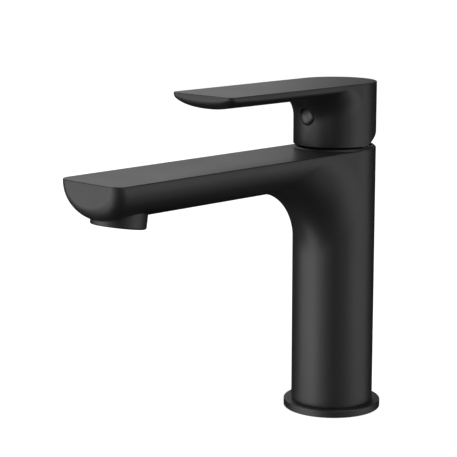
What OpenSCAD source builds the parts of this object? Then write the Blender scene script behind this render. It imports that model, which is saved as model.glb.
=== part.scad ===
// Single-lever bathroom basin mixer, one-piece cast body with a straight spout.
// Millimetres. Origin: centre of the base on the deck plane, +Z up, spout towards -Y.

/* [Body] */
// outside diameter of the column and of the lever head
column_d = 42; // [38:0.5:46]
// height of the flat spout top above the deck
spout_top_z = 136.2; // [128:0.2:165]
// distance from the column axis to the flat front of the spout
spout_reach = 165; // [125:0.5:200]
// width of the spout at its front end
spout_width = 40.9; // [37:0.1:42]
// depth of the spout from its flat top to the lowest line of its underside
spout_depth = 18; // [15.5:0.25:20]
// radius of the hollow curve between the spout underside and the column
spout_fillet_r = 37; // [28:0.5:42]
// straight part of the spout side below its top edge
spout_side_land = 1; // [0.5:0.25:5]
// roundness of the spout underside, 2 is elliptical and more is squarer
spout_fullness = 2.1; // [1.8:0.05:2.8]
// radius of the spout front corners seen from above
spout_corner_r = 6.5; // [3:0.5:8]
// radius of the lower edge of the spout front
spout_lip_r = 8; // [4:0.5:10]
// bevel around the top rim of the body
rim_bevel = 1.1; // [0.5:0.1:1.5]

/* [Base] */
// how far the base ring stands out beyond the column all round
ring_overhang = 4; // [2.5:0.25:8]
// top face of the base ring above the deck
ring_h = 4; // [3:0.25:6]
// diameter of the M8 stud thread, drawn as its tapping bore
stud_bore_d = 6.8; // [5:0.1:8.5]
// diameter of the M10x1 hose threads, drawn as their tapping bore
hose_bore_d = 9; // [8:0.1:10]
// distance between the two hose threads
hose_pitch = 15; // [13:0.5:16]

/* [Lever] */
// gap between the rim of the body and the head of the lever
joint_gap = 0.8; // [0.6:0.1:1.2]
// height of the lever head and blade together
lever_h = 31.56; // [28:0.1:36]
// distance from the column axis to the flat tip of the lever
lever_reach = 95.2; // [72:0.5:115]
// width of the blade at its tip
lever_width = 40.4; // [36:0.2:42]
// thickness of the blade at its middle
blade_depth = 7; // [5.5:0.1:8.5]
// straight part of the blade side below its top edge
blade_side_land = 1.7; // [0.6:0.1:2.2]
// radius of the hollow curve between the blade and the head
lever_fillet_r = 12.2; // [8:0.2:16]
// radius of the blade tip corners seen from above
blade_corner_r = 4.5; // [2:0.5:8]
// radius of the lower edge of the blade tip
blade_lip_r = 4.2; // [1.5:0.2:5]
// distance behind the axis where the slanted relief under the head begins
relief_start = 1; // [0:0.25:3]
// highest tilt of the lever in degrees
tilt_max = 24; // [14:1:25]
// diameter of the round button over the set screw
button_d = 8.6; // [7.5:0.1:9.5]

/* [Cartridge] */
// diameter of the cartridge flange
cartridge_d = 35; // [33:0.2:35.4]
// height of the tilt pin above the rim of the body
pin_rise = 7.5; // [7:0.1:9]
// diameter of the tilt pin
pin_d = 3; // [2:0.1:3.2]
// side of the square stem
stem_w = 7.5; // [6:0.1:8]
// thickness of the fixed ceramic disc
fixed_disc_h = 3.4; // [2.6:0.1:3.6]
// thickness of the moving ceramic disc
moving_disc_h = 3.2; // [2.6:0.1:3.4]

/* [Aerator] */
// outside diameter of the boss under the spout
boss_d = 25.6; // [24:0.1:28]
// distance from the column axis to the middle of the outlet
outlet_reach = 147; // [110:0.5:180]
// how far the middle of the outlet face hangs below the spout underside
boss_drop = 3.8; // [2:0.2:8]
// forward lean of the outlet in degrees
outlet_lean = 9.5; // [4:0.25:12]
// diameter of the aerator thread, drawn as its tapping bore
aerator_bore_d = 20.5; // [19:0.1:21.5]

/* [Hidden] */
column_r = column_d / 2;
ring_r = column_r + ring_overhang;
outlet_z = spout_top_z - spout_depth - boss_drop;
// the swept spout stays this much inside the column skin where they meet
tuck = 0.3;
rim_z = spout_top_z + rim_bevel;
head_z = rim_z + joint_gap - 0.1;
lever_top_z = head_z + lever_h;
pivot_z = rim_z + pin_rise;
relief_slope = tilt_max + 3.5;
// bores of the body from the rim down
thread_r = column_r - 2;
nut_seat_z = rim_z - 4.2;
nut_top_z = rim_z - 1.2;
chamber_r = cartridge_d / 2 + 0.2;
seat_z = rim_z - 19.3;
block_z = seat_z - 20;
foot_h = 16;
hollow_r = column_r - 3.4;
spigot_r = column_r - 3.2;
channel_z = spout_top_z - 8;
// levels inside the cartridge
base_z = seat_z + 0.3;
base_flange_h = 3.7;
plug_z = base_z + base_flange_h;
plug_top_z = plug_z + 1.9;
fixed_disc_z = plug_top_z + 0.25;
moving_disc_z = fixed_disc_z + fixed_disc_h + 0.03;
carrier_z = moving_disc_z + moving_disc_h + 0.02;
carrier_h = 3.5;
rotor_z = rim_z - 2.7;
rotor_flange_h = 2.4;
glide_z = rotor_z + rotor_flange_h;
lip_z = glide_z + 0.6;
housing_top_z = lip_z + 1.6;
rotor_top_z = pivot_z + 2.5;
ball_z = rotor_z - 1;
ball_r = 2.2;
shell_r = 13.6;
neck_r = 9.3;
disc_r = 11;
// how far the round end of the stem travels towards the spout
stem_swing = (pivot_z - ball_z) * sin(tilt_max);
disc_offset = stem_swing / 2;
stem_hub_r = 3.4;
// slot of the rotor, front and back of the tilt pin
slot_front = stem_swing + ball_r + 0.35;
slot_back = stem_hub_r * cos(tilt_max) + 4.3 * sin(tilt_max) + 0.15;
// depth of the button seat in the head
button_seat = 1.65;
port_x = hose_pitch / 2;
port_y = 4;
screw_z = pivot_z + 8.1;
cavity_r = column_r - 2.6;
cavity_top_z = pivot_z + 12.3;

$fn = 96;

// half of a rounded trough: across the width and down its depth at angle a
function across(a, w, n) = w * sign(cos(a)) * pow(abs(cos(a)), 2 / n);
function down(a, d, n) = d * pow(abs(sin(a)), 2 / n);
function mix(a, b, t) = a + (b - a) * t;
// how far a quarter round of radius r has come out at distance t from the end
function quarter(t, r) = t >= r ? 0 : r - sqrt(r * r - (r - t) * (r - t));

// Flat-topped blade of a trough section that flows through a hollow curve
// into a round column: tip rounds, straight length, then sections that turn
// through the hollow curve until they lie flat just inside the column skin.
// bulge makes the hollow curve wider on the flanks than in the middle.
module blade_form(reach, wt, wr, top, depth, land, n, corner, lip, fillet, bulge, col) {
    steps = 20;
    c = col - tuck;
    yc = -c - fillet - 2;
    zc = top - depth - fillet - 2;
    // distances from the tip that carry the end rounding
    big = max(corner, lip);
    tips = [0, 0.02, 0.08, 0.18, 0.32, 0.5, 0.72, 1];
    front = [for (k = tips) let (
        t = k * big,
        w = wt - quarter(t, corner),
        d = depth - quarter(t, lip),
        e = min(land, d - 0.5))
        concat([[w, t - reach, top]],
            [for (i = [0:steps]) let (a = 180 * i / steps)
                [across(a, w, n), t - reach, top - e - down(a, d - e, n)]],
            [[-w, t - reach, top]])];
    bends = 10;
    root = [for (k = [0:bends + 2]) let (
        s = k / (bends + 2),
        f = 90 * (k - 1) / bends,
        w = mix(wr, c, s),
        oy = mix(yc, 2, min(2 * s, 1)),
        oz = mix(top, zc, max(2 * s - 1, 0)))
        concat([[w, oy, oz]],
            [for (i = [0:steps]) let (
                a = 180 * i / steps,
                zu = top - land - down(a, depth - land, n),
                yu = -c * sin(a),
                r = fillet + bulge * min(zu - top + depth, c + yu),
                y = k == 0 ? yc : k > bends + 1 ? yu : yu - r + r * sin(f),
                z = k == 0 ? zu : k > bends + 1 ? zc : zu - r + r * cos(f))
                [mix(across(a, wr, n), across(a, c, 2), s), y, z]],
            [[-w, oy, oz]])];
    rings = concat(front, root);
    count = len(rings[0]);
    last = len(rings) - 1;
    points = [for (ring = rings) for (p = ring) p];
    sides = [for (k = [0:last - 1]) for (j = [0:count - 1]) let (
        a = k * count + j,
        b = k * count + (j + 1) % count)
        each [[a, b + count, b], [a, a + count, b + count]]];
    caps = [[for (j = [0:count - 1]) j], [for (j = [count - 1:-1:0]) last * count + j]];
    polyhedron(points = points, faces = concat(sides, caps), convexity = 6);
}

// round bar between two points in the middle plane
module duct(y1, z1, y2, z2, r) {
    run = sqrt((y2 - y1) * (y2 - y1) + (z2 - z1) * (z2 - z1));
    translate([0, y1, z1])
        rotate([-atan2(y2 - y1, z2 - z1), 0, 0])
            cylinder(r = r, h = run);
}

// place something on the outlet face, its own +Z pointing up into the spout
module at_outlet() {
    translate([0, -outlet_reach, outlet_z])
        rotate([-outlet_lean, 0, 0])
            children();
}

// plain ring between two radii
module tube(r1, r2, z1, z2) {
    difference() {
        translate([0, 0, z1]) cylinder(r = r2, h = z2 - z1);
        translate([0, 0, z1 - 1]) cylinder(r = r1, h = z2 - z1 + 2);
    }
}

// cast body: column, spout, outlet boss, cartridge chamber and hollow foot
module body() {
    color([0.06, 0.06, 0.065])
    difference() {
        union() {
            translate([0, 0, ring_h])
                cylinder(r = column_r, h = spout_top_z - ring_h);
            translate([0, 0, spout_top_z])
                cylinder(r1 = column_r, r2 = column_r - rim_bevel, h = rim_bevel);
            translate([0, 0, 0.4])
                cylinder(r = spigot_r, h = ring_h);
            blade_form(spout_reach, spout_width / 2, column_r - tuck, spout_top_z,
                spout_depth, spout_side_land, spout_fullness, spout_corner_r,
                spout_lip_r, spout_fillet_r, -0.6, column_r);
            at_outlet()
                cylinder(r = boss_d / 2, h = 12);
        }
        // cartridge chamber with the nut thread above it
        translate([0, 0, seat_z])
            cylinder(r = chamber_r, h = 40);
        translate([0, 0, nut_seat_z])
            cylinder(r = thread_r, h = 40);
        // hot and cold passages and their hose threads
        for (side = [-1, 1]) {
            translate([side * port_x, port_y, block_z - 1])
                cylinder(r = 3.6, h = 30);
            translate([side * port_x, port_y, block_z - 1])
                cylinder(d = hose_bore_d, h = 13);
            translate([side * 8, 4.5, 0])
                cylinder(r = 6.6, h = foot_h + 1);
        }
        // hollow column above the foot and the stud thread through the foot
        translate([0, 0, foot_h])
            cylinder(r = hollow_r, h = block_z - foot_h);
        translate([0, -9.5, 0])
            cylinder(d = stud_bore_d, h = foot_h + 1);
        // waterway from the chamber into the spout and on to the outlet
        duct(-chamber_r + 2, seat_z + 5, -column_r - 14, channel_z - 0.2, 4.3);
        translate([0, -column_r - 10, channel_z])
            rotate([90, 0, 0])
                linear_extrude(height = outlet_reach - column_r - 8)
                    channel_outline();
        // aerator thread and the pocket above it
        at_outlet() {
            translate([0, 0, -1])
                cylinder(d = aerator_bore_d, h = 9.5);
            cylinder(r = aerator_bore_d / 2 - 2, h = 11.5);
        }
    }
}

// section of the water channel in the spout
module channel_outline() {
    square([20, 9], center = true);
    square([26, 4], center = true);
    for (side = [-1, 1]) for (lift = [-1, 1])
        translate([side * 10, lift * 1.75])
            circle(r = 2.75);
}

// trim ring the body stands in, with a groove for the seal underneath
module base_ring() {
    color([0.06, 0.06, 0.065])
    rotate_extrude()
        polygon([[spigot_r + 0.1, 0.1], [column_r - 1.9, 0.1], [column_r - 1.9, 1.8],
            [ring_r - 1.6, 1.8], [ring_r - 1.6, 0.1], [ring_r - 0.3, 0.1],
            [ring_r, 0.4], [ring_r, ring_h - 0.5],
            [ring_r - 0.5, ring_h], [spigot_r + 0.1, ring_h]]);
}

// flat rubber seal between the base ring and the deck
module base_seal() {
    color([0.1, 0.1, 0.1])
    tube(column_r - 1.85, ring_r - 1.65, 0, 1.75);
}

// lever: hollow head and flat blade cast as one
module lever() {
    color([0.06, 0.06, 0.065])
    difference() {
        union() {
            translate([0, 0, head_z])
                cylinder(r = column_r, h = lever_h);
            blade_form(lever_reach, lever_width / 2, column_r - tuck, lever_top_z,
                blade_depth, blade_side_land, 2.2, blade_corner_r,
                blade_lip_r, lever_fillet_r, 0.2, column_r);
        }
        difference() {
            translate([0, 0, head_z - 1])
                cylinder(r = cavity_r, h = cavity_top_z - head_z + 1);
            // block around the stem that carries the set screw
            translate([-6.5, -11, rotor_top_z + 3.1])
                cube([13, 16.4, 30]);
        }
        // square socket for the stem
        translate([-stem_w / 2 - 0.05, -stem_w / 2 - 0.05, pivot_z])
            cube([stem_w + 0.1, stem_w + 0.1, 15.5]);
        // set screw thread, its access hole and the seat of the button
        translate([0, -stem_w / 2, screw_z])
            rotate([90, 0, 0])
                cylinder(r = 1.95, h = 30);
        translate([0, -11, screw_z])
            rotate([90, 0, 0])
                cylinder(r = 2.6, h = 30);
        translate([0, -column_r + button_seat, screw_z])
            rotate([90, 0, 0])
                cylinder(r = button_d / 2 + 0.05, h = 10);
        // slanted relief that lets the head tilt back over the rim
        translate([0, relief_start, head_z])
            rotate([relief_slope, 0, 0])
                translate([-40, 0, -40])
                    cube([80, 80, 40]);
    }
}

// socket set screw that clamps the lever to the stem
module set_screw() {
    color([0.55, 0.55, 0.57])
    translate([0, -stem_w / 2 - 0.02, screw_z])
        rotate([90, 0, 0])
            difference() {
                union() {
                    cylinder(r1 = 1.2, r2 = 1.9, h = 0.8);
                    translate([0, 0, 0.8])
                        cylinder(r = 1.9, h = 6.2);
                }
                translate([0, 0, 4.6])
                    cylinder(r = 1.25, h = 3, $fn = 6);
            }
}

// round domed button pressed over the set screw hole
module indicator_button() {
    color([0.07, 0.07, 0.075])
    translate([0, -column_r + button_seat - 0.02, screw_z])
        rotate([90, 0, 0])
            rotate_extrude()
                polygon([[0, -3.4], [2.55, -3.4], [2.55, 0], [button_d / 2, 0],
                    [button_d / 2, 1.35], [button_d / 2 - 0.25, 1.75],
                    [button_d / 2 - 0.9, 2.1], [button_d / 2 - 2.2, 2.4], [0, 2.6]]);
}

// slotted nut that holds the cartridge down on its seat
module lock_nut() {
    color([0.72, 0.6, 0.3])
    difference() {
        tube(shell_r + 1.1, thread_r - 0.05, nut_seat_z, nut_top_z);
        for (turn = [0:90:270])
            rotate([0, 0, turn + 45])
                translate([shell_r + 2, -1.5, nut_top_z - 1.2])
                    cube([10, 3, 3]);
    }
}

// outer shell of the cartridge with its seal groove and top lip
module cartridge_housing() {
    color([0.85, 0.85, 0.82])
    difference() {
        union() {
            translate([0, 0, plug_z])
                cylinder(r = shell_r + 1.3, h = nut_seat_z - plug_z);
            translate([0, 0, nut_seat_z - 5.2])
                cylinder(r = cartridge_d / 2, h = 5.2);
            translate([0, 0, nut_seat_z])
                cylinder(r = shell_r + 1, h = housing_top_z - nut_seat_z);
        }
        translate([0, 0, plug_z - 1])
            cylinder(r = shell_r, h = lip_z - plug_z + 1);
        translate([0, 0, lip_z - 1])
            cylinder(r = neck_r, h = 5);
        tube(cartridge_d / 2 - 1.6, cartridge_d / 2 + 1, nut_seat_z - 3.6, nut_seat_z - 1.4);
    }
}

// rubber ring that seals the housing against the chamber wall
module housing_o_ring() {
    color([0.08, 0.08, 0.08])
    translate([0, 0, nut_seat_z - 2.5])
        rotate_extrude()
            translate([cartridge_d / 2 - 0.7, 0])
                circle(r = 0.88, $fn = 24);
}

// slippery washer between the rotor flange and the lip of the housing
module glide_ring() {
    color([0.9, 0.9, 0.9])
    tube(neck_r + 0.2, shell_r - 0.3, glide_z + 0.03, lip_z - 0.03);
}

// turning part of the cartridge that carries the tilt pin
module rotor() {
    color([0.3, 0.32, 0.35])
    difference() {
        union() {
            translate([0, 0, rotor_z])
                cylinder(r = shell_r - 0.05, h = rotor_flange_h);
            translate([0, 0, rotor_z])
                cylinder(r = neck_r - 0.05, h = rotor_top_z - rotor_z);
        }
        translate([-2.5, -slot_front, rotor_z - 1])
            cube([5, slot_front + slot_back, 30]);
        translate([-20, 0, pivot_z])
            rotate([0, 90, 0])
                cylinder(d = pin_d, h = 40);
    }
}

// rocking stem: square top for the lever, round end in the disc carrier
module stem() {
    color([0.75, 0.76, 0.78])
    difference() {
        union() {
            translate([-2.3, -1.8, ball_z])
                cube([4.6, 3.6, pivot_z - ball_z]);
            translate([-2.3, -stem_hub_r, pivot_z])
                cube([4.6, 2 * stem_hub_r, 5.2]);
            translate([-2.3, 0, pivot_z])
                rotate([0, 90, 0])
                    cylinder(r = stem_hub_r, h = 4.6);
            translate([-2.3, 0, ball_z])
                rotate([0, 90, 0])
                    cylinder(r = ball_r, h = 4.6);
            translate([-stem_w / 2, -stem_w / 2, pivot_z + 4.8])
                cube([stem_w, stem_w, 10.4]);
        }
        translate([-20, 0, pivot_z])
            rotate([0, 90, 0])
                cylinder(r = pin_d / 2 + 0.04, h = 40);
    }
}

// steel pin the stem rocks on
module tilt_pin() {
    color([0.7, 0.7, 0.72])
    translate([-neck_r + 0.9, 0, pivot_z])
        rotate([0, 90, 0])
            cylinder(d = pin_d, h = 2 * neck_r - 1.8);
}

// plastic carrier clipped on the moving disc, with the slot for the stem end
module disc_carrier() {
    color([0.2, 0.3, 0.5])
    difference() {
        translate([0, disc_offset, carrier_z])
            cylinder(r = disc_r, h = rotor_z - 0.3 - carrier_z);
        translate([-2.6, -ball_r - 0.1, ball_z - ball_r - 0.3])
            cube([5.2, 2 * ball_r + 0.2, 20]);
    }
}

// moving ceramic disc with the mixing hollow in its lower face
module moving_disc() {
    color([0.93, 0.93, 0.9])
    translate([0, disc_offset, moving_disc_z])
        difference() {
            cylinder(r = disc_r, h = moving_disc_h);
            translate([0, -2.4, -1])
                cylinder(r = 5.6, h = 2.8);
        }
}

// fixed ceramic disc with two inlet ports and one outlet port
module fixed_disc() {
    color([0.93, 0.93, 0.9])
    difference() {
        translate([0, 0, fixed_disc_z])
            cylinder(r = shell_r - 0.1, h = fixed_disc_h);
        ports(fixed_disc_z - 1, 10, 2.2);
    }
}

// the three openings shared by the fixed disc, its seal and the base
module ports(z, h, r) {
    for (side = [-1, 1])
        translate([side * port_x, port_y, z])
            cylinder(r = r, h = h);
    translate([0, -6, z])
        cylinder(r = r + 0.6, h = h);
}

// rubber seal between the cartridge base and the fixed disc
module disc_seal() {
    color([0.08, 0.08, 0.08])
    difference() {
        translate([0, 0, plug_top_z - 0.8])
            cylinder(r = 12, h = 1.05);
        ports(plug_top_z - 2, 10, 2.2);
    }
}

// bottom of the cartridge: inlets through it, outlet out of its front side
module cartridge_base() {
    color([0.25, 0.25, 0.27])
    difference() {
        union() {
            translate([0, 0, base_z])
                cylinder(r = 16.5, h = base_flange_h);
            translate([0, 0, plug_z])
                cylinder(r = shell_r - 0.05, h = plug_top_z - plug_z);
        }
        translate([0, 0, plug_top_z - 0.8])
            cylinder(r = 12.05, h = 3);
        for (side = [-1, 1]) {
            translate([side * port_x, port_y, base_z - 1])
                cylinder(r = 2.6, h = 20);
            translate([side * port_x, port_y, base_z - 1])
                cylinder(r = 4.9, h = 2.2);
        }
        translate([0, -6, base_z + 0.8])
            cylinder(r = 2.8, h = 20);
        translate([-5, -20, base_z + 0.8])
            cube([10, 14, 2.4]);
    }
}

// two rubber rings between the cartridge base and the seat
module port_seals() {
    color([0.08, 0.08, 0.08])
    for (side = [-1, 1])
        translate([side * port_x, port_y, 0])
            tube(3.4, 4.8, seat_z, base_z + 1.15);
}

// threaded cage of the aerator, with a notched rim for its key
module aerator_cage() {
    color([0.2, 0.2, 0.21])
    at_outlet()
        difference() {
            tube(aerator_bore_d / 2 - 1.3, aerator_bore_d / 2 - 0.05, 0.5, 7.2);
            for (turn = [0:45:135])
                rotate([0, 0, turn])
                    translate([-20, -0.9, -1])
                        cube([40, 1.8, 2.3]);
        }
}

// plastic insert that breaks the stream into jets
module aerator_insert() {
    color([0.5, 0.52, 0.55])
    at_outlet()
        difference() {
            translate([0, 0, 2.4])
                cylinder(r = aerator_bore_d / 2 - 1.35, h = 4.7);
            translate([0, 0, 1])
                cylinder(r = aerator_bore_d / 2 - 2.4, h = 2.9);
            for (turn = [0:30:330])
                rotate([0, 0, turn])
                    translate([5, 0, 0])
                        cylinder(r = 0.7, h = 10, $fn = 24);
        }
}

// mesh disc at the mouth of the aerator
module aerator_screen() {
    pitch = 1.8;
    screen_r = aerator_bore_d / 2 - 1.35;
    rows = floor(screen_r / pitch);
    color([0.6, 0.6, 0.62])
    at_outlet()
        difference() {
            translate([0, 0, 1.7])
                cylinder(r = screen_r, h = 0.65);
            for (ix = [-rows:rows]) for (iy = [-rows:rows])
                if (norm([ix, iy]) * pitch + 1.6 < screen_r)
                    translate([ix * pitch - 0.6, iy * pitch - 0.6, 1])
                        cube([1.2, 1.2, 3]);
        }
}

// rubber washer between the aerator and the shoulder in the spout
module aerator_washer() {
    color([0.08, 0.08, 0.08])
    at_outlet()
        tube(aerator_bore_d / 2 - 3, aerator_bore_d / 2 - 0.1, 7.25, 8.5);
}

body();
base_ring();
base_seal();
lever();
set_screw();
indicator_button();
lock_nut();
cartridge_housing();
housing_o_ring();
glide_ring();
rotor();
stem();
tilt_pin();
disc_carrier();
moving_disc();
fixed_disc();
disc_seal();
cartridge_base();
port_seals();
aerator_cage();
aerator_insert();
aerator_screen();
aerator_washer();
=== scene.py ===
import math
import bmesh
import bpy
import numpy as np
from mathutils import Matrix, Vector


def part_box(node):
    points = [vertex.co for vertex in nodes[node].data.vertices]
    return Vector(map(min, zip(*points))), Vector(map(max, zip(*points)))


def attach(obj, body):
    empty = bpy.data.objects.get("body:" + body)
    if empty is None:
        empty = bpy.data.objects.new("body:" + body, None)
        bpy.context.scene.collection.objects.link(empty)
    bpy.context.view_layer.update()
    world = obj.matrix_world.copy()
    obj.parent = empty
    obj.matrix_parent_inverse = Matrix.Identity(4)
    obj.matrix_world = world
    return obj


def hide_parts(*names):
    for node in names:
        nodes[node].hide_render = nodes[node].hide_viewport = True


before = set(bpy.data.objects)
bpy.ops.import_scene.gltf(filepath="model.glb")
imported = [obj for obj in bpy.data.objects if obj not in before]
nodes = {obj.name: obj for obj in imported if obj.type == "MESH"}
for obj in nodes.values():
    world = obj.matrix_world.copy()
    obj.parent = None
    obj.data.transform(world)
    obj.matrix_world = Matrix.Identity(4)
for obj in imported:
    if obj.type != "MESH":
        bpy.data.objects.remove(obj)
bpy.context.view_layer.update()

# ---------------------------------------------------------------------------
# Cast body: one brass casting that is column, spout and outlet boss together,
# linished smooth, sprayed and baked with a satin black coat. Its top is bored
# and threaded for the cartridge, its foot is hollow for the hoses.
# ---------------------------------------------------------------------------
MM = 0.001
column_low, column_high, column_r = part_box("base_ring")[1].z / MM, 136.2, 21.0
rim_bevel, rim_edge, foot_edge = 1.1, 0.25, 0.3
rim_z = column_high + rim_bevel
spout = dict(reach=165.0, tip_w=20.45, root_w=20.7, top=column_high, depth=18.0, land=1.0,
             full=2.1, corner=6.5, lip=8.0, hollow=37.0, bulge=-0.6, edge=0.5)
boss_r, boss_tall, boss_edge = 12.8, 11.5, 1.0
outlet_y, outlet_z, outlet_lean = -147.0, 114.4, 9.5
aerator_r, aerator_deep, aerator_chamfer = 10.25, 8.5, 0.5
water_r, water_deep = aerator_r - 2, 11.2
# The chamber for the cartridge, the hollow under its seat and the solid foot.
chamber_r, mouth_r, hollow_r, foot_r = 17.7, 19.0, 17.6, 17.8
mouth_z, seat_z, block_z = rim_z - 4.2, rim_z - 19.3, rim_z - 39.3
foot_z, foot_top = 0.4, 16.0
# The holes in the foot, and the threads and ports in the block under the seat.
stud_r, stud_y = 3.4, -9.5
way_r, way_x, way_y = 6.6, 8.0, 4.5
hose_r, hose_x, hose_y, hose_deep, port_r = 4.5, 7.5, 4.0, 12.0, 3.6
past, over_rim = 1.0, 9.0           # how far the cutters stand out of what they cut
bore_sides, hole_sides = 96, 48
sunk = 0.02                         # keeps a skin that meets the column just inside it


def rounded_end(t, r):
    """How far a quarter round of radius r still stands back at distance t from the end."""
    return np.where(t >= r, 0.0, r - np.sqrt(np.maximum(r * r - (r - np.minimum(t, r)) ** 2, 0)))


def shell(name, rings, weld=1e-5):
    """A closed skin over rings of equal point count, in millimetres, with both ends capped."""
    count, last = len(rings[0]), len(rings) - 1
    faces = [(k * count + j, k * count + (j + 1) % count,
              (k + 1) * count + (j + 1) % count, (k + 1) * count + j)
             for k in range(last) for j in range(count)]
    faces += [tuple(range(count - 1, -1, -1)), tuple(last * count + j for j in range(count))]
    mesh = bpy.data.meshes.new(name)
    mesh.from_pydata([tuple(map(float, p)) for ring in rings for p in ring], [], faces)
    bm = bmesh.new()
    bm.from_mesh(mesh)
    bmesh.ops.remove_doubles(bm, verts=bm.verts, dist=weld)
    bmesh.ops.recalc_face_normals(bm, faces=bm.faces)
    bm.to_mesh(mesh)
    bm.free()
    piece = bpy.data.objects.new(name, mesh)
    bpy.context.scene.collection.objects.link(piece)
    return piece


def blade(name, reach, tip_w, root_w, top, depth, land, full, corner, lip, hollow, bulge, edge,
          tip_land=None, tip_run=8.0):
    """A flat-topped bar of a trough section whose underside runs through a hollow curve into a
    round column: tip rounding first, then the straight length, then the turn down the column.
    Widths are half widths; land is the upright wall under the top edge, and tip_land is what
    is left of it at the tip."""
    trough_points, edge_points, tip_rings, straight_rings, turn_rings = 61, 6, 20, 9, 33
    thinnest, apart, run_on, behind, first = 0.5, 0.05, 2.0, 2.0, 1 / 12
    a = np.linspace(0, np.pi, trough_points)
    cos_a, sin_a = np.cos(a), np.maximum(np.sin(a), 0)
    lift = np.radians(np.linspace(0, 90, edge_points))
    side, fall = np.sign(cos_a) * np.abs(cos_a) ** (2 / full), sin_a ** (2 / full)

    def section(w, y, z, x_low, y_low, z_low):
        arc = [(w - edge + edge * math.sin(f), y, z - edge + edge * math.cos(f)) for f in lift]
        low = list(zip(x_low, y_low + 0 * x_low, z_low + 0 * x_low))
        return arc + low + [(-x, v, h) for x, v, h in reversed(arc)]

    rings, big, tip_land = [], max(corner, lip), tip_land or land
    for t in [*big * (1 - np.cos(np.linspace(0, np.pi / 2, tip_rings))),
              *np.linspace(big, tip_run, straight_rings)[1:]]:
        w, d = tip_w - rounded_end(t, corner), depth - rounded_end(t, lip)
        w, z = w + (root_w - tip_w) * t / reach, top - rounded_end(t, edge)
        wall = min(tip_land + (land - tip_land) * (t / tip_run) ** 2, d - thinnest)
        wall = max(wall, top - z + edge + apart)
        rings.append(section(w, t - reach, z, w * side, t - reach,
                             top - wall - (d - wall) * fall))
    col = column_r - sunk
    y_root, z_end = -col - hollow - run_on, top - depth - hollow - run_on
    z_under, y_skin = top - land - (depth - land) * fall, -col * sin_a
    turn = hollow + bulge * np.minimum(z_under - top + depth, col + y_skin)
    # Each stage is how far the bar's section has become the column's, and its low curve.
    stages = [(0.0, y_root, z_under)]
    for share in np.linspace(0, 1, turn_rings):
        f = share * math.pi / 2
        stages.append((first + (1 - 2 * first) * share,
                       y_skin - turn + turn * math.sin(f), z_under - turn + turn * math.cos(f)))
    stages.append((1.0, y_skin, z_end))
    for share, y, z in stages:
        rings.append(section(root_w + (col - root_w) * share,
                             y_root + (behind - y_root) * min(2 * share, 1),
                             top + (z_end - top) * max(2 * share - 1, 0),
                             root_w * side + (col * cos_a - root_w * side) * share, y, z))
    return shell(name, rings)


def turned(name, outline, sides=144):
    """A solid turned about Z from (radius, height) points, lowest centre point to highest."""
    around = np.radians(np.arange(sides) * 360 / sides)
    return shell(name, [[(r * math.cos(f), r * math.sin(f), z) for f in around]
                        for r, z in outline])


def eased(points, radii, steps=4):
    """The outline with each corner rounded by its radius; a radius of 0 leaves it sharp."""
    out = [points[0]]
    for p, q, s, r in zip(points, points[1:], points[2:], radii[1:]):
        p, q, s = Vector(p), Vector(q), Vector(s)
        u, v = (p - q).normalized(), (s - q).normalized()
        if r <= 0:
            out.append(tuple(q))
            continue
        half = u.angle(v) / 2
        cut = r / math.tan(half)
        centre = q + (u + v).normalized() * r / math.sin(half)
        start, end = q + u * cut - centre, q + v * cut - centre
        for k in range(steps + 1):
            out.append(tuple(centre + start.slerp(end, k / steps).normalized() * r))
    return out + [points[-1]]


def placed(piece, matrix):
    """The piece with this move made in its mesh."""
    piece.data.transform(matrix)
    return piece


def settled(piece):
    """The piece with its modifiers made part of its mesh."""
    bpy.context.view_layer.update()
    mesh = bpy.data.meshes.new_from_object(
        piece.evaluated_get(bpy.context.evaluated_depsgraph_get()))
    piece.modifiers.clear()
    piece.data = mesh
    return piece


def joined(piece, how, *others):
    """The piece with the others added to it or cut from it, one after another."""
    for other in others:
        cut = piece.modifiers.new("cut", "BOOLEAN")
        cut.object, cut.operation, cut.solver = other, how, "EXACT"
        settled(piece)
        bpy.data.objects.remove(other)
    return piece


def to_metres(piece, crease=32):
    """Cleans the millimetre mesh, scales it down and bakes in a shading that keeps flat faces
    flat and breaks at edges sharper than crease, in degrees."""
    weld, thin, flat_weight = 2e-4, 1e-4, 80
    bm = bmesh.new()
    bm.from_mesh(piece.data)
    bmesh.ops.remove_doubles(bm, verts=bm.verts, dist=weld)
    bmesh.ops.dissolve_degenerate(bm, edges=bm.edges, dist=thin)
    bm.to_mesh(piece.data)
    bm.free()
    piece.data.transform(Matrix.Scale(MM, 4))
    piece.data.polygons.foreach_set("use_smooth", [True] * len(piece.data.polygons))
    piece.data.set_sharp_from_angle(angle=math.radians(crease))
    even = piece.modifiers.new("even", "WEIGHTED_NORMAL")
    even.keep_sharp, even.weight = True, flat_weight
    return settled(piece)


def hex_tone(code):
    """An sRGB hex colour as linear RGBA."""
    parts = [int(code[i:i + 2], 16) / 255 for i in (1, 3, 5)]
    return tuple(c / 12.92 if c <= 0.04045 else ((c + 0.055) / 1.055) ** 2.4 for c in parts) + (1,)


def feed(tree, node, links):
    """Links each source into the node's socket of that name or number."""
    for socket, source in links.items():
        tree.links.new(source, node.inputs[socket])


def add(tree, kind, settings=None, links=None):
    """Adds one node. settings fill its properties, then its sockets; links feed its sockets."""
    made = tree.nodes.new(kind)
    for key, value in (settings or {}).items():
        if isinstance(key, str) and hasattr(made, key):
            setattr(made, key, value)
    for key, value in (settings or {}).items():
        if isinstance(key, int) or not hasattr(made, key):
            made.inputs[key].default_value = value
    feed(tree, made, links or {})
    return made


def new_material(name):
    """A material with its surface shader, its tree and the Object coordinates to lay it by."""
    made = bpy.data.materials.new(name)
    made.use_nodes = True
    tree = made.node_tree
    tree.nodes.clear()
    surface = add(tree, "ShaderNodeBsdfPrincipled")
    add(tree, "ShaderNodeOutputMaterial", links={"Surface": surface.outputs["BSDF"]})
    place = add(tree, "ShaderNodeTexCoord").outputs["Object"]
    return made, tree, surface, place


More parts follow.
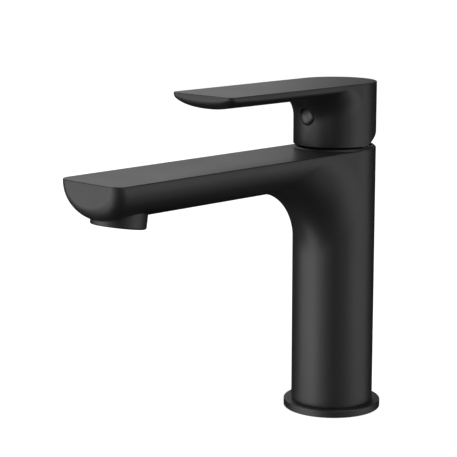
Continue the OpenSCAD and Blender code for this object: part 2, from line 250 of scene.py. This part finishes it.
# Satin black coat: baked spray paint on linished brass. It is smooth to the eye, with a very
# fine leathery skin (about 0.5 mm from crest to crest) that spreads highlights into soft bands,
# and it flattens a little more in some patches than in others.
satin_black, tree, surface, place = new_material("satin_black_baked_coat")
skin = add(tree, "ShaderNodeTexNoise", {"Scale": 1 / 0.0005, "Detail": 3.0, "Roughness": 0.55},
           {"Vector": place})
patch = add(tree, "ShaderNodeTexNoise", {"Scale": 1 / 0.035, "Detail": 2.0}, {"Vector": place})
colour = add(tree, "ShaderNodeMix", {"data_type": "RGBA", 6: hex_tone("#1d1d1f"),
                                     7: hex_tone("#262628")}, {0: skin.outputs["Fac"]})
sheen = add(tree, "ShaderNodeMapRange", {"To Min": 0.40, "To Max": 0.48},
            {"Value": patch.outputs["Fac"]})
pebbled = add(tree, "ShaderNodeBump", {"Strength": 0.12, "Distance": 0.00005},
              {"Height": skin.outputs["Fac"]})
feed(tree, surface, {"Base Color": colour.outputs[2], "Roughness": sheen.outputs["Result"],
                     "Normal": pebbled.outputs["Normal"]})
surface.inputs["IOR"].default_value = 1.5

outlet_place = (Matrix.Translation((0, outlet_y, outlet_z))
                @ Matrix.Rotation(math.radians(-outlet_lean), 4, "X"))
body = turned("cast_body", eased(
    [(0, foot_z), (foot_r, foot_z), (foot_r, column_low), (column_r, column_low),
     (column_r, column_high), (column_r - rim_bevel, rim_z), (0, rim_z)],
    [0, foot_edge, 0, rim_edge, rim_edge, rim_edge, 0]))
boss = turned("boss", eased([(0, 0), (boss_r, 0), (boss_r, boss_tall), (0, boss_tall)],
                            [0, boss_edge, 0, 0], steps=7), bore_sides)
joined(body, "UNION", blade("spout", **spout), placed(boss, outlet_place))
bore_r, bore_low, over = aerator_r + aerator_chamfer, -3.0, rim_z + over_rim
tools = [
    turned("chamber", [(0, seat_z), (chamber_r, seat_z), (chamber_r, mouth_z), (mouth_r, mouth_z),
                       (mouth_r, over), (0, over)], bore_sides),
    turned("hollow", [(0, foot_top), (hollow_r, foot_top), (hollow_r, block_z), (0, block_z)],
           bore_sides),
    placed(turned("outlet_bore", [
        (0, bore_low), (bore_r, bore_low), (bore_r, 0), (aerator_r, aerator_chamfer),
        (aerator_r, aerator_deep), (water_r, aerator_deep), (water_r, water_deep),
        (0, water_deep)], bore_sides), outlet_place),
    placed(turned("stud_hole", [(0, -past), (stud_r, -past), (stud_r, foot_top + past),
                                (0, foot_top + past)], hole_sides),
           Matrix.Translation((0, stud_y, 0)))]
for hand in (-1, 1):
    tools.append(placed(turned("hose_way", [
        (0, -past), (way_r, -past), (way_r, foot_top + past), (0, foot_top + past)], hole_sides),
        Matrix.Translation((hand * way_x, way_y, 0))))
    tools.append(placed(turned("hose_thread", [
        (0, block_z - past), (hose_r, block_z - past), (hose_r, block_z + hose_deep),
        (port_r, block_z + hose_deep), (port_r, seat_z + past), (0, seat_z + past)], hole_sides),
        Matrix.Translation((hand * hose_x, hose_y, 0))))
joined(body, "DIFFERENCE", *tools)
to_metres(body).data.materials.append(satin_black)
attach(body, "fixed_body")
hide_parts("body")

# ---------------------------------------------------------------------------
# Base ring: a flat collar turned from brass and coated like the body. The
# column stands in its bore and it hides the edge of the hole in the basin.
# ---------------------------------------------------------------------------
ring_r, ring_bore, ring_top, ring_under, ring_edge = 25.0, 17.9, 4.0, 0.1, 0.45
groove_in, groove_out, groove_roof, groove_floor, groove_edge = 19.1, 23.4, 1.8, -1.0, 0.05
band_sides, band_edge_steps = 192, 4


def sizes_in(tree, *names):
    """Gives the tree named size inputs and a mesh output, and returns its input node."""
    for name in names:
        tree.interface.new_socket(name=name, in_out="INPUT", socket_type="NodeSocketFloat")
    tree.interface.new_socket(name="Mesh", in_out="OUTPUT", socket_type="NodeSocketGeometry")
    return tree.nodes.new("NodeGroupInput")


def grown(name, tree, values):
    """Runs the tree with these sizes and returns its result as a plain mesh object."""
    piece = bpy.data.objects.new(name, bpy.data.meshes.new(name))
    bpy.context.scene.collection.objects.link(piece)
    grow = piece.modifiers.new("grow", "NODES")
    grow.node_group = tree
    for item in tree.interface.items_tree:
        if item.in_out == "INPUT":
            grow[item.identifier] = values[item.name]
    return settled(piece)


def finish_tree(tree, geometry, material):
    """Ends a tree in real geometry with its material set."""
    real = add(tree, "GeometryNodeRealizeInstances", links={"Geometry": geometry})
    painted = add(tree, "GeometryNodeSetMaterial", {"Material": material},
                  {"Geometry": real.outputs[0]})
    add(tree, "NodeGroupOutput", links={0: painted.outputs[0]})


def swept_band(tree, low_r, high_r, low_z, high_z, rounding):
    """A band of rectangular section swept round the axis; rounding eases its four edges."""
    middles, spans = [], []
    for low, high in ((low_r, high_r), (low_z, high_z)):
        total = add(tree, "ShaderNodeMath", {"operation": "ADD"}, {0: low, 1: high})
        middle = add(tree, "ShaderNodeMath", {"operation": "MULTIPLY", 1: 0.5},
                     {0: total.outputs[0]})
        span = add(tree, "ShaderNodeMath", {"operation": "SUBTRACT"}, {0: high, 1: low})
        middles.append(middle.outputs[0])
        spans.append(span.outputs[0])
    path = add(tree, "GeometryNodeCurvePrimitiveCircle", {"Resolution": band_sides},
               {"Radius": middles[0]})
    section = add(tree, "GeometryNodeCurvePrimitiveQuadrilateral", {},
                  {"Width": spans[0], "Height": spans[1]})
    soft = add(tree, "GeometryNodeFilletCurve", {"mode": "POLY", "Count": band_edge_steps},
               {"Curve": section.outputs[0], "Radius": rounding})
    band = add(tree, "GeometryNodeCurveToMesh", {}, {"Curve": path.outputs[0],
                                                     "Profile Curve": soft.outputs[0]})
    rise = add(tree, "ShaderNodeCombineXYZ", {}, {"Z": middles[1]})
    return add(tree, "GeometryNodeTransform", {}, {"Geometry": band.outputs[0],
                                                   "Translation": rise.outputs[0]}).outputs[0]


ring_tree = bpy.data.node_groups.new("base_ring_turning", "GeometryNodeTree")
sizes = sizes_in(ring_tree, "Outer radius", "Bore radius", "Underside", "Top", "Edge rounding",
                 "Groove inner radius", "Groove outer radius", "Groove roof", "Groove floor",
                 "Groove rounding").outputs
collar = swept_band(ring_tree, sizes["Bore radius"], sizes["Outer radius"], sizes["Underside"],
                    sizes["Top"], sizes["Edge rounding"])
groove = swept_band(ring_tree, sizes["Groove inner radius"], sizes["Groove outer radius"],
                    sizes["Groove floor"], sizes["Groove roof"], sizes["Groove rounding"])
grooved = add(ring_tree, "GeometryNodeMeshBoolean", {"operation": "DIFFERENCE"},
              {"Mesh 1": collar, "Mesh 2": groove})
finish_tree(ring_tree, grooved.outputs["Mesh"], satin_black)
base_ring = grown("base_ring_collar", ring_tree, {
    "Outer radius": ring_r, "Bore radius": ring_bore, "Underside": ring_under, "Top": ring_top,
    "Edge rounding": ring_edge, "Groove inner radius": groove_in,
    "Groove outer radius": groove_out, "Groove roof": groove_roof,
    "Groove floor": groove_floor, "Groove rounding": groove_edge})
to_metres(base_ring)
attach(base_ring, "fixed_body")
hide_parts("base_ring")

# ---------------------------------------------------------------------------
# Rubber seals: the flat ring under the base collar, the two port rings, the
# disc seal, the O-ring round the cartridge and the washer over the aerator.
# They are moulded EPDM, laid in their grooves and squeezed by the parts above.
# ---------------------------------------------------------------------------
# EPDM rubber: matt black with a faint greyish bloom and a moulding grain near 0.3 mm.
epdm, tree, surface, place = new_material("moulded_epdm_rubber")
bloom = add(tree, "ShaderNodeTexNoise", {"Scale": 1 / 0.004, "Detail": 4.0}, {"Vector": place})
grain = add(tree, "ShaderNodeTexNoise", {"Scale": 1 / 0.0003, "Detail": 2.0}, {"Vector": place})
colour = add(tree, "ShaderNodeMix", {"data_type": "RGBA", 6: hex_tone("#19191a"),
                                     7: hex_tone("#2b2a29")}, {0: bloom.outputs["Fac"]})
rough = add(tree, "ShaderNodeMapRange", {"To Min": 0.72, "To Max": 0.9},
            {"Value": grain.outputs["Fac"]})
bumps = add(tree, "ShaderNodeBump", {"Strength": 0.25, "Distance": 0.00004},
            {"Height": grain.outputs["Fac"]})
feed(tree, surface, {"Base Color": colour.outputs[2], "Roughness": rough.outputs["Result"],
                     "Normal": bumps.outputs["Normal"]})
surface.inputs["IOR"].default_value = 1.52


def finish_node(material, *names):
    """Gives CAD pieces their finish."""
    for name in names:
        for held in nodes[name].material_slots:
            held.material = material


finish_node(epdm, "base_seal", "port_seals", "disc_seal", "housing_o_ring", "aerator_washer")

# ---------------------------------------------------------------------------
# Cartridge base, housing, rotor and disc carrier: black glass-filled nylon
# mouldings. The base sits on the seat of the body, the housing over it holds
# the discs, the rotor turns in it and the carrier is clipped on the moving disc.
# ---------------------------------------------------------------------------
# Glass-filled nylon: dark, slightly mottled by the fibre, with a dull moulded skin.
glass_nylon, tree, surface, place = new_material("glass_filled_nylon")
fibre = add(tree, "ShaderNodeTexNoise", {"Scale": 1 / 0.0008, "Detail": 5.0, "Distortion": 1.2},
            {"Vector": place})
colour = add(tree, "ShaderNodeMix", {"data_type": "RGBA", 6: hex_tone("#2a2b2e"),
                                     7: hex_tone("#3a3c40")}, {0: fibre.outputs["Fac"]})
rough = add(tree, "ShaderNodeMapRange", {"To Min": 0.45, "To Max": 0.65},
            {"Value": fibre.outputs["Fac"]})
bumps = add(tree, "ShaderNodeBump", {"Strength": 0.15, "Distance": 0.00005},
            {"Height": fibre.outputs["Fac"]})
feed(tree, surface, {"Base Color": colour.outputs[2], "Roughness": rough.outputs["Result"],
                     "Normal": bumps.outputs["Normal"]})
finish_node(glass_nylon, "cartridge_base", "cartridge_housing", "disc_carrier", "rotor")

# ---------------------------------------------------------------------------
# Ceramic discs: sintered alumina, the lower one fixed, the upper one sliding
# on it. Their faces are lapped flat so that they seal on a film of grease.
# ---------------------------------------------------------------------------
wave_rate = 20      # a wave pattern runs through 20 radians in a metre for each unit of scale
# Alumina: dense off-white ceramic with faint lapping circles 0.15 mm apart.
alumina, tree, surface, place = new_material("lapped_alumina")
cloud = add(tree, "ShaderNodeTexNoise", {"Scale": 1 / 0.003, "Detail": 4.0}, {"Vector": place})
laps = add(tree, "ShaderNodeTexWave", {"wave_type": "RINGS", "rings_direction": "Z",
                                       "Scale": 2 * math.pi / 0.00015 / wave_rate,
                                       "Distortion": 2.0},
           {"Vector": place})
colour = add(tree, "ShaderNodeMix", {"data_type": "RGBA", 6: hex_tone("#e9e4d8"),
                                     7: hex_tone("#f4f1e8")}, {0: cloud.outputs["Fac"]})
rough = add(tree, "ShaderNodeMapRange", {"To Min": 0.2, "To Max": 0.32},
            {"Value": laps.outputs["Fac"]})
feed(tree, surface, {"Base Color": colour.outputs[2], "Roughness": rough.outputs["Result"]})
surface.inputs["IOR"].default_value = 1.76
finish_node(alumina, "fixed_disc", "moving_disc")

# ---------------------------------------------------------------------------
# Glide ring: a white acetal washer that lets the rotor turn easily under the
# lip of the housing.
# ---------------------------------------------------------------------------
# Acetal: milky white, waxy, with a soft sheen and shallow flow marks.
acetal, tree, surface, place = new_material("white_acetal")
flow = add(tree, "ShaderNodeTexNoise", {"Scale": 1 / 0.006, "Detail": 3.0, "Distortion": 0.8},
           {"Vector": place})
colour = add(tree, "ShaderNodeMix", {"data_type": "RGBA", 6: hex_tone("#e2e0d8"),
                                     7: hex_tone("#efeee8")}, {0: flow.outputs["Fac"]})
rough = add(tree, "ShaderNodeMapRange", {"To Min": 0.32, "To Max": 0.45},
            {"Value": flow.outputs["Fac"]})
feed(tree, surface, {"Base Color": colour.outputs[2], "Roughness": rough.outputs["Result"]})
surface.inputs["IOR"].default_value = 1.48
finish_node(acetal, "glide_ring")

# ---------------------------------------------------------------------------
# Lock nut: turned from brass bar, screwed down on the cartridge through its
# four key slots.
# ---------------------------------------------------------------------------
# Turned brass, darkened to brown-black as painted shade in the joint gap; circular tool marks
# 0.2 mm apart.
brass, tree, surface, place = new_material("brass_darkened_as_painted_shade")
marks = add(tree, "ShaderNodeTexWave", {"wave_type": "RINGS", "rings_direction": "Z",
                                        "Scale": 2 * math.pi / 0.0002 / wave_rate,
                                        "Distortion": 0.6},
            {"Vector": place})
stain = add(tree, "ShaderNodeTexNoise", {"Scale": 1 / 0.005, "Detail": 5.0}, {"Vector": place})
# The dark brown-black tones are painted shade for the gap under the lever.
colour = add(tree, "ShaderNodeMix", {"data_type": "RGBA", 6: hex_tone("#35302a"),
                                     7: hex_tone("#463f35")}, {0: stain.outputs["Fac"]})
rough = add(tree, "ShaderNodeMapRange", {"To Min": 0.22, "To Max": 0.36},
            {"Value": marks.outputs["Fac"]})
bumps = add(tree, "ShaderNodeBump", {"Strength": 0.2, "Distance": 0.00002},
            {"Height": marks.outputs["Fac"]})
feed(tree, surface, {"Base Color": colour.outputs[2], "Roughness": rough.outputs["Result"],
                     "Normal": bumps.outputs["Normal"]})
surface.inputs["Metallic"].default_value = 1.0
finish_node(brass, "lock_nut")

# ---------------------------------------------------------------------------
# Stem, tilt pin and set screw: stainless steel. The stem rocks on the pin and
# carries the lever on its square top, where the set screw clamps it.
# ---------------------------------------------------------------------------
# Machined stainless steel: grey metal with fine drawn lines 0.1 mm apart along its length.
steel, tree, surface, place = new_material("machined_stainless_steel")
drawn = add(tree, "ShaderNodeMapping", {"Scale": (1, 1, 0.04)}, {"Vector": place})
lines = add(tree, "ShaderNodeTexNoise", {"Scale": 1 / 0.0001, "Detail": 2.0},
            {"Vector": drawn.outputs[0]})
colour = add(tree, "ShaderNodeMix", {"data_type": "RGBA", 6: hex_tone("#b4b4b6"),
                                     7: hex_tone("#cbcbcc")}, {0: lines.outputs["Fac"]})
rough = add(tree, "ShaderNodeMapRange", {"To Min": 0.24, "To Max": 0.4},
            {"Value": lines.outputs["Fac"]})
feed(tree, surface, {"Base Color": colour.outputs[2], "Roughness": rough.outputs["Result"]})
surface.inputs["Metallic"].default_value = 1.0
finish_node(steel, "stem", "tilt_pin", "set_screw")

# ---------------------------------------------------------------------------
# Lever: round head and flat blade cast as one in zinc, coated like the body.
# The head is hollow round the stem, with a block inside for the set screw and
# a slanted relief behind so that it can lean back over the rim.
# ---------------------------------------------------------------------------
head_low, head_high, head_low_edge, head_high_edge = 138.0, 169.56, 0.3, 0.45
blade_sizes = dict(reach=95.2, tip_w=20.2, root_w=20.7, top=head_high, depth=7.0, land=1.7,
                   full=2.2, corner=3.8, lip=5.2, hollow=12.2, bulge=0.2, edge=0.3,
                   tip_land=1.1, tip_run=20.0)
pivot_z, cavity_r, cavity_top, screw_z = 144.8, 18.4, 157.1, 152.9
# The block left standing inside for the stem and its screw, and the socket in it.
clamp_half, clamp_front, clamp_back, clamp_low, clamp_high = 6.5, -11.0, 5.4, 150.4, 190.0
socket_half, socket_deep = 3.8, 15.5
# The way in for the screw and its button, from the axis to the front: each radius and where
# it starts, and the end of the cutter.
thread_r, key_r, recess_r = 1.95, 2.6, 4.35
thread_y, key_y, recess_y, way_end, way_sides = 3.0, 11.0, 19.35, 30.0, 64
relief_y, relief_slope, relief_half, relief_long = 1.0, 27.5, 40.0, 80.0


def block(name, low, high):
    """A plain cutting block between two corners."""
    (x0, y0, z0), (x1, y1, z1) = low, high
    return shell(name, [[(x0, y0, z), (x1, y0, z), (x1, y1, z), (x0, y1, z)] for z in (z0, z1)])


lever = turned("lever_head_and_blade", eased(
    [(0, head_low), (column_r, head_low), (column_r, head_high), (0, head_high)],
    [0, head_low_edge, head_high_edge, 0], steps=5))
joined(lever, "UNION", blade("blade", **blade_sizes))
inside = turned("inside", [(0, head_low - past), (cavity_r, head_low - past),
                           (cavity_r, cavity_top), (0, cavity_top)], bore_sides)
joined(inside, "DIFFERENCE", block("clamp_block", (-clamp_half, clamp_front, clamp_low),
                                   (clamp_half, clamp_back, clamp_high)))
to_front = Matrix.Translation((0, 0, screw_z)) @ Matrix.Rotation(math.radians(90), 4, "X")
joined(lever, "DIFFERENCE", inside,
       block("square_socket", (-socket_half, -socket_half, pivot_z),
             (socket_half, socket_half, pivot_z + socket_deep)),
       placed(turned("screw_way", [
           (0, thread_y), (thread_r, thread_y), (thread_r, key_y), (key_r, key_y),
           (key_r, recess_y), (recess_r, recess_y), (recess_r, way_end), (0, way_end)],
           way_sides), to_front),
       placed(block("relief", (-relief_half, 0, -relief_half), (relief_half, relief_long, 0)),
              Matrix.Translation((0, relief_y, head_low))
              @ Matrix.Rotation(math.radians(relief_slope), 4, "X")))
to_metres(lever).data.materials.append(satin_black)
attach(lever, "lever_group")
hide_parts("lever")

# ---------------------------------------------------------------------------
# Button: a small domed plug of ABS pressed over the set screw hole, coated in
# the same black but polished a little more by the mould.
# ---------------------------------------------------------------------------
# Coated ABS: same black as the lever with a closer sheen and an almost even skin.
button_black, tree, surface, place = new_material("black_coated_abs")
skin = add(tree, "ShaderNodeTexNoise", {"Scale": 1 / 0.0004, "Detail": 2.0}, {"Vector": place})
colour = add(tree, "ShaderNodeMix", {"data_type": "RGBA", 6: hex_tone("#1c1c1e"),
                                     7: hex_tone("#252527")}, {0: skin.outputs["Fac"]})
sheen = add(tree, "ShaderNodeMapRange", {"To Min": 0.30, "To Max": 0.36},
            {"Value": skin.outputs["Fac"]})
bumps = add(tree, "ShaderNodeBump", {"Strength": 0.06, "Distance": 0.00004},
            {"Height": skin.outputs["Fac"]})
feed(tree, surface, {"Base Color": colour.outputs[2], "Roughness": sheen.outputs["Result"],
                     "Normal": bumps.outputs["Normal"]})
cap_r, cap_wall, cap_rise, cap_back, cap_seat = 4.28, 1.55, 1.0, 0.02, 1.63
plug_r, plug_long, cap_rings, cap_sides = 2.5, 3.3, 15, 72
dome = [(cap_r * math.sin(f), cap_wall + cap_rise * math.cos(f))
        for f in np.linspace(math.pi / 2, 0, cap_rings)]
button = placed(turned("domed_button", [(0, -plug_long), (plug_r, -plug_long), (plug_r, cap_back),
                                        (cap_r, cap_back), *dome], cap_sides),
                Matrix.Translation((0, cap_seat - column_r, 0)) @ to_front)
to_metres(button).data.materials.append(button_black)
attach(button, "lever_group")
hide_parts("indicator_button")

# ---------------------------------------------------------------------------
# Aerator: a threaded acetal cage with key notches holds a jet insert and a
# woven stainless screen in the outlet boss, face down.
# ---------------------------------------------------------------------------
screen_r, wire_pitch, wire_r, screen_lift = 8.88, 0.85, 0.13, 2.02
wire_steps, wire_sides = 6.0, 6
# Black acetal: slightly waxy moulded plastic with a fine grain near 0.25 mm.
black_acetal, tree, surface, place = new_material("black_acetal")
grain = add(tree, "ShaderNodeTexNoise", {"Scale": 1 / 0.00025, "Detail": 2.0}, {"Vector": place})
colour = add(tree, "ShaderNodeMix", {"data_type": "RGBA", 6: hex_tone("#1e1e20"),
                                     7: hex_tone("#2a2a2c")}, {0: grain.outputs["Fac"]})
rough = add(tree, "ShaderNodeMapRange", {"To Min": 0.35, "To Max": 0.5},
            {"Value": grain.outputs["Fac"]})
feed(tree, surface, {"Base Color": colour.outputs[2], "Roughness": rough.outputs["Result"]})
finish_node(black_acetal, "aerator_cage")
# Grey acetal of the jet insert: same plastic in a light grey.
grey_acetal, tree, surface, place = new_material("grey_acetal")
grain = add(tree, "ShaderNodeTexNoise", {"Scale": 1 / 0.0006, "Detail": 3.0}, {"Vector": place})
colour = add(tree, "ShaderNodeMix", {"data_type": "RGBA", 6: hex_tone("#86898d"),
                                     7: hex_tone("#9a9da1")}, {0: grain.outputs["Fac"]})
rough = add(tree, "ShaderNodeMapRange", {"To Min": 0.35, "To Max": 0.48},
            {"Value": grain.outputs["Fac"]})
feed(tree, surface, {"Base Color": colour.outputs[2], "Roughness": rough.outputs["Result"]})
finish_node(grey_acetal, "aerator_insert")

weave = bpy.data.node_groups.new("woven_screen", "GeometryNodeTree")
sizes = sizes_in(weave, "Radius", "Pitch", "Wire radius", "Lift").outputs
# One straight wire of short steps, and rows of it a pitch apart.
half = add(weave, "ShaderNodeMath", {"operation": "DIVIDE"},
           {0: sizes["Radius"], 1: sizes["Pitch"]})
whole = add(weave, "ShaderNodeMath", {"operation": "FLOOR"}, {0: half.outputs[0]})
count = add(weave, "ShaderNodeMath", {"operation": "MULTIPLY_ADD", 1: 2.0, 2: 1.0},
            {0: whole.outputs[0]})
reach = add(weave, "ShaderNodeMath", {"operation": "MULTIPLY"},
            {0: whole.outputs[0], 1: sizes["Pitch"]})
back = add(weave, "ShaderNodeMath", {"operation": "MULTIPLY", 1: -1.0}, {0: reach.outputs[0]})
step = add(weave, "ShaderNodeMath", {"operation": "DIVIDE", 1: wire_steps}, {0: sizes["Pitch"]})
long_count = add(weave, "ShaderNodeMath", {"operation": "MULTIPLY_ADD", 1: 2 * wire_steps, 2: 1.0},
                 {0: whole.outputs[0]})
wire_start = add(weave, "ShaderNodeCombineXYZ", {}, {"X": back.outputs[0]})
wire_step = add(weave, "ShaderNodeCombineXYZ", {}, {"X": step.outputs[0]})
wire = add(weave, "GeometryNodeMeshLine", {"mode": "OFFSET"},
           {"Count": long_count.outputs[0], "Start Location": wire_start.outputs[0],
            "Offset": wire_step.outputs[0]})
row_start = add(weave, "ShaderNodeCombineXYZ", {}, {"Y": back.outputs[0]})
row_step = add(weave, "ShaderNodeCombineXYZ", {}, {"Y": sizes["Pitch"]})
rows = add(weave, "GeometryNodeMeshLine", {"mode": "OFFSET"},
           {"Count": count.outputs[0], "Start Location": row_start.outputs[0],
            "Offset": row_step.outputs[0]})
laid = add(weave, "GeometryNodeInstanceOnPoints", {}, {"Points": rows.outputs[0],
                                                       "Instance": wire.outputs[0]})
real = add(weave, "GeometryNodeRealizeInstances", links={"Geometry": laid.outputs[0]})
# Each wire rises and falls by its own radius, row by row the other way.
spot = add(weave, "GeometryNodeInputPosition")
parts = add(weave, "ShaderNodeSeparateXYZ", {}, {0: spot.outputs[0]})
along = add(weave, "ShaderNodeMath", {"operation": "ADD"},
            {0: parts.outputs["X"], 1: parts.outputs["Y"]})
turns = add(weave, "ShaderNodeMath", {"operation": "DIVIDE"},
            {0: along.outputs[0], 1: sizes["Pitch"]})
phase = add(weave, "ShaderNodeMath", {"operation": "MULTIPLY", 1: math.pi}, {0: turns.outputs[0]})
wave = add(weave, "ShaderNodeMath", {"operation": "COSINE"}, {0: phase.outputs[0]})
height = add(weave, "ShaderNodeMath", {"operation": "MULTIPLY"},
             {0: wave.outputs[0], 1: sizes["Wire radius"]})
offset = add(weave, "ShaderNodeCombineXYZ", {}, {"Z": height.outputs[0]})
waved = add(weave, "GeometryNodeSetPosition", {}, {"Geometry": real.outputs[0],
                                                   "Offset": offset.outputs[0]})
# The second set is the first turned a quarter and flipped, so it passes over and under.
crossed = add(weave, "GeometryNodeTransform", {"Rotation": (0, 0, math.pi / 2),
                                               "Scale": (1, 1, -1)},
              {"Geometry": waved.outputs[0]})
both = add(weave, "GeometryNodeJoinGeometry")
for layer in (waved, crossed):
    feed(weave, both, {0: layer.outputs[0]})
# What lies outside the round edge is cut off, and the rest gets its thickness.
flat = add(weave, "ShaderNodeVectorMath", {"operation": "MULTIPLY", 1: (1, 1, 0)},
           {0: spot.outputs[0]})
far = add(weave, "ShaderNodeVectorMath", {"operation": "LENGTH"}, {0: flat.outputs[0]})
outside = add(weave, "FunctionNodeCompare", {"data_type": "FLOAT", "operation": "GREATER_THAN"},
              {0: far.outputs["Value"], 1: sizes["Radius"]})
trimmed = add(weave, "GeometryNodeDeleteGeometry", {"domain": "POINT"},
              {"Geometry": both.outputs[0], "Selection": outside.outputs[0]})
lines = add(weave, "GeometryNodeMeshToCurve", {}, {"Mesh": trimmed.outputs[0]})
round_wire = add(weave, "GeometryNodeCurvePrimitiveCircle", {"Resolution": wire_sides},
                 {"Radius": sizes["Wire radius"]})
drawn_wire = add(weave, "GeometryNodeCurveToMesh", {"Fill Caps": True},
                 {"Curve": lines.outputs[0], "Profile Curve": round_wire.outputs[0]})
up = add(weave, "ShaderNodeCombineXYZ", {}, {"Z": sizes["Lift"]})
lifted = add(weave, "GeometryNodeTransform", {}, {"Geometry": drawn_wire.outputs[0],
                                                  "Translation": up.outputs[0]})
finish_tree(weave, lifted.outputs[0], steel)
screen = placed(grown("woven_screen", weave, {
    "Radius": screen_r, "Pitch": wire_pitch, "Wire radius": wire_r, "Lift": screen_lift}),
    outlet_place)
to_metres(screen, crease=60)
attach(screen, "fixed_body")
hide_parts("aerator_screen")

# ---------------------------------------------------------------------------
# Studio: a plain white floor and surround. Soft boxes stand low from left to
# right, with one tall box on the left and two walls behind; two lights hang
# high and two shine up from below.
# ---------------------------------------------------------------------------
floor_half = 9.0
foot_shade_from, foot_shade_to, foot_shade = 0.024, 0.045, 0.86
floor_mesh = bpy.data.meshes.new("floor")
floor_mesh.from_pydata([(x * floor_half, y * floor_half, 0)
                        for x, y in ((-1, -1), (1, -1), (1, 1), (-1, 1))], [], [(0, 1, 2, 3)])
floor = bpy.data.objects.new("floor", floor_mesh)
bpy.context.scene.collection.objects.link(floor)
# White paper: evenly lit from within like a backlit sweep, with a painted shadow that dims it
# round the foot of the mixer, and a faint cloud 25 mm across.
paper, tree, surface, place = new_material("white_paper_floor")
fibre = add(tree, "ShaderNodeTexNoise", {"Scale": 1 / 0.025, "Detail": 2.0}, {"Vector": place})
pale = add(tree, "ShaderNodeMix", {"data_type": "RGBA", 6: hex_tone("#a0a0a0"),
                                   7: hex_tone("#a6a6a6")}, {0: fibre.outputs["Fac"]})
surface.inputs["Roughness"].default_value = 1.0
surface.inputs["Specular IOR Level"].default_value = 0.0
surface.inputs["Emission Color"].default_value = (1, 1, 1, 1)
# The glow is dimmed near the foot of the mixer as a painted contact shadow.
spread = add(tree, "ShaderNodeVectorMath", {"operation": "LENGTH"}, {0: place})
glow_with_painted_shadow = add(tree, "ShaderNodeMapRange", {"From Min": foot_shade_from, "From Max": foot_shade_to,
                                        "To Min": foot_shade, "To Max": 1.0},
           {"Value": spread.outputs["Value"]})
feed(tree, surface, {"Base Color": pale.outputs[2], "Emission Strength": glow_with_painted_shadow.outputs["Result"]})
floor_mesh.materials.append(paper)
# The floor doesn't reflect in the mixer and doesn't hold back the boxes that stand below it.
floor.visible_diffuse = floor.visible_glossy = floor.visible_shadow = False

# The surround shows behind the mixer and neither lights it nor reflects in it.
world = bpy.data.worlds.new("white_surround")
bpy.context.scene.world = world
world.use_nodes = True
surround = world.node_tree.nodes["Background"].inputs
surround["Color"].default_value = (1, 1, 1, 1)
surround["Strength"].default_value = 1.05
world.cycles_visibility.diffuse = world.cycles_visibility.glossy = False

view_turn, view_down = 44.6, 10.7907
light_aim = Vector((0, -0.04, 0.09))


def softbox(name, turn, height, distance, width, tall, radiance):
    """A rectangular light at an angle right of the camera, facing the mixer, of even radiance."""
    f = math.radians(view_turn + turn)
    at = Vector((distance * math.sin(f), -distance * math.cos(f), height))
    lamp = bpy.data.lights.new(name, "AREA")
    lamp.shape, lamp.size, lamp.size_y = "RECTANGLE", width, tall
    lamp.energy = radiance * math.pi * width * tall
    holder = bpy.data.objects.new(name, lamp)
    bpy.context.scene.collection.objects.link(holder)
    holder.location = at
    holder.rotation_euler = (light_aim - at).to_track_quat("-Z", "Y").to_euler()
    holder.visible_camera = False


# Name, degrees right of the camera, height, distance, width, height of the box, radiance.
for setting in (
        ("left_box", -90, -0.12, 1.2, 0.62, 0.5, 2.50),
        ("left_front_box", -60, -0.12, 1.2, 0.62, 0.5, 1.92),
        ("left_front_tall_box", -60, 0.35, 1.2, 0.62, 0.7, 2.80),
        ("fill_left", -30, -0.12, 1.2, 0.62, 0.5, 1.00),
        ("fill_right", 30, -0.12, 1.2, 0.62, 0.5, 0.65),
        ("right_front_box", 60, -0.12, 1.2, 0.62, 0.5, 1.99),
        ("right_box", 90, -0.12, 1.2, 0.62, 0.5, 1.15),
        ("back_wall", -168, 0.72, 1.2, 0.7, 0.86, 0.98),
        ("back_wall_right", 160, 0.72, 1.2, 0.7, 0.86, 0.15),
        ("high_back_left", -135, 1.1, 0.95, 0.8, 0.8, 2.10),
        ("high_front_right", 45, 1.1, 0.95, 0.8, 0.8, 4.45),
        ("under_left_front", -60, -0.6, 1.1, 0.75, 0.8, 1.95),
        ("under_right", 90, -0.6, 1.1, 0.75, 0.8, 0.43)):
    softbox(*setting)

camera = bpy.data.objects.new("camera", bpy.data.cameras.new("camera"))
bpy.context.scene.collection.objects.link(camera)
camera.location = (0.540027, -0.62426, 0.250573)
camera.rotation_euler = (math.radians(90 - view_down), 0, math.radians(view_turn))
camera.data.sensor_width = 36.0
camera.data.lens = 128.80
camera.data.clip_end = 20.0
bpy.context.scene.camera = camera
bpy.context.scene.view_settings.view_transform = "Standard"
